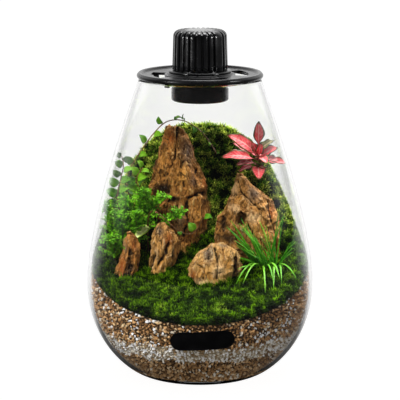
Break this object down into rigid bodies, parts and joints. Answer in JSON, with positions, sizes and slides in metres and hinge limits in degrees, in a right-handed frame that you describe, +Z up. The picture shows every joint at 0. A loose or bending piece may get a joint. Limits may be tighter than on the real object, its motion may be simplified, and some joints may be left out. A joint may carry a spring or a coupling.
{
  "type": "glass plant terrarium",
  "caption": "Teardrop glass jar planted with layered gravel and soil, moss, weathered stones and small leafy plants, under a vented lid that carries a grow lamp.",
  "frame": {"origin": "centre of the jar's flat foot, on the surface that it stands on", "axes": "+Z up along the jar's axis, the front with the label faces -Y, +X is to the right seen from the front"},
  "size_m": [0.18, 0.18, 0.272],
  "materials": {
    "jar_glass": "clear and polished",
    "lid_plastic": "glossy black",
    "lamp_metal": "satin black",
    "lamp_plastic": "glossy black",
    "circuit": "white coated board",
    "emitter": "matt yellow phosphor",
    "lens": "frosted clear",
    "socket_plastic": "matt black with a bright pin",
    "label_film": "blank black film with a thin border",
    "gravel": "rough baked granules",
    "pumice": "rough pale grit",
    "soil_grains": "rough baked granules with pale grit",
    "moss_green": "deep cushion moss, yellow-green tips",
    "weathered_rock": "pitted and fluted, tan, rust and grey",
    "fittonia_leaf": "soft red-pink with green edges",
    "grass_blade": "smooth bright green",
    "bush_leaf": "soft bright green",
    "fig_leaf": "smooth mid green"
  },
  "bodies": {
    "root": {"glass_jar": "jar_glass", "lid_ring": "lid_plastic", "heat_sink": "lamp_metal", "lamp_collar": "lamp_plastic", "led_board": "circuit", "led_emitter": "emitter", "lamp_lens": "lens", "power_socket": "socket_plastic", "front_label": "label_film", "gravel_layer": "gravel", "pumice_layer": "pumice", "soil": "soil_grains", "moss": "moss_green", "stone_tall": "weathered_rock", "stone_right": "weathered_rock", "stone_front": "weathered_rock", "stone_left": "weathered_rock", "stone_middle": "weathered_rock", "fittonia": "fittonia_leaf", "grass_tuft": "grass_blade", "bush_spray_1": "bush_leaf", "bush_spray_2": "bush_leaf", "bush_spray_3": "bush_leaf", "bush_spray_4": "bush_leaf", "bush_spray_5": "bush_leaf", "bush_spray_6": "bush_leaf", "bush_spray_7": "bush_leaf", "bush_spray_8": "bush_leaf", "fig_runner": "fig_leaf", "fig_spray_1": "fig_leaf", "fig_spray_2": "fig_leaf", "fig_tendril": "fig_leaf"}
  },
  "joints": []
}
